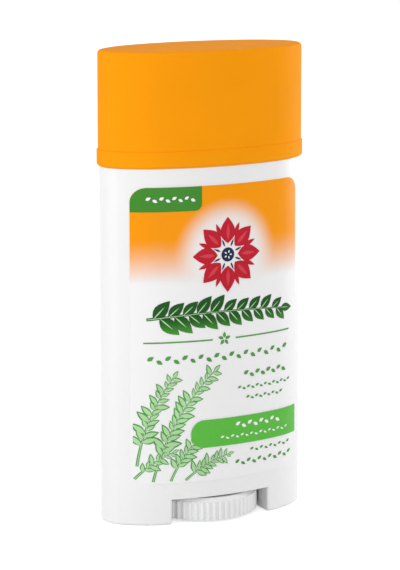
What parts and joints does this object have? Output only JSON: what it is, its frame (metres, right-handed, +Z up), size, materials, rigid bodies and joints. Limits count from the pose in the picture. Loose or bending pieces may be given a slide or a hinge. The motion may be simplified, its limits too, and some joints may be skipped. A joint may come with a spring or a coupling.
{
  "type": "deodorant stick",
  "caption": "Oval solid deodorant stick with a lift-off cap, a dome seal, and a thumb dial that raises the stick on a screw.",
  "frame": {"origin": "on the table under the middle of the oval, between the two feet", "axes": "+Z up through the cap, +X across the front, and the labelled front faces -Y"},
  "size_m": [0.0628, 0.032, 0.133],
  "materials": {
    "barrel_plastic": "satin",
    "dial_plastic": "satin",
    "elevator_plastic": "satin",
    "product": "matte",
    "seal_plastic": "satin",
    "cap_plastic": "satin",
    "label_film": "gloss",
    "orange_ink": "satin",
    "deep_green_ink": "satin",
    "leaf_green_ink": "satin",
    "dark_green_ink": "satin",
    "crimson_ink": "satin"
  },
  "bodies": {
    "barrel": {"barrel": "barrel_plastic", "label": "label_film", "print_orange_field": "orange_ink", "print_green_tab": "deep_green_ink", "print_green_stripe": "leaf_green_ink", "print_fine_rules": "dark_green_ink", "print_garland": "dark_green_ink", "print_blossom": "crimson_ink", "print_sprig": "leaf_green_ink"},
    "dial": {"dial_screw": "dial_plastic"},
    "stick": {"elevator": "elevator_plastic", "product_stick": "product"},
    "seal": {"dome_seal": "seal_plastic"},
    "cap": {"cap": "cap_plastic"}
  },
  "joints": [
    {"name": "dial_turn", "type": "hinge", "parent": "barrel", "child": "dial", "pos_m": [0, 0, 0.0034], "axis": [0, 0, 1], "range_deg": [0, 4480]},
    {"name": "elevator_rise", "type": "slide", "parent": "barrel", "child": "stick", "axis": [0, 0, 1], "range_m": [0, 0.056]},
    {"name": "seal_lift", "type": "slide", "parent": "stick", "child": "seal", "axis": [0, 0, 1], "range_m": [0, 0.03]},
    {"name": "cap_lift", "type": "slide", "parent": "seal", "child": "cap", "axis": [0, 0, 1], "range_m": [0, 0.045]}
  ],
  "couplings": [
    {"joint": "dial_turn", "follows": "elevator_rise", "rad_per_m": 1396.3}
  ]
}
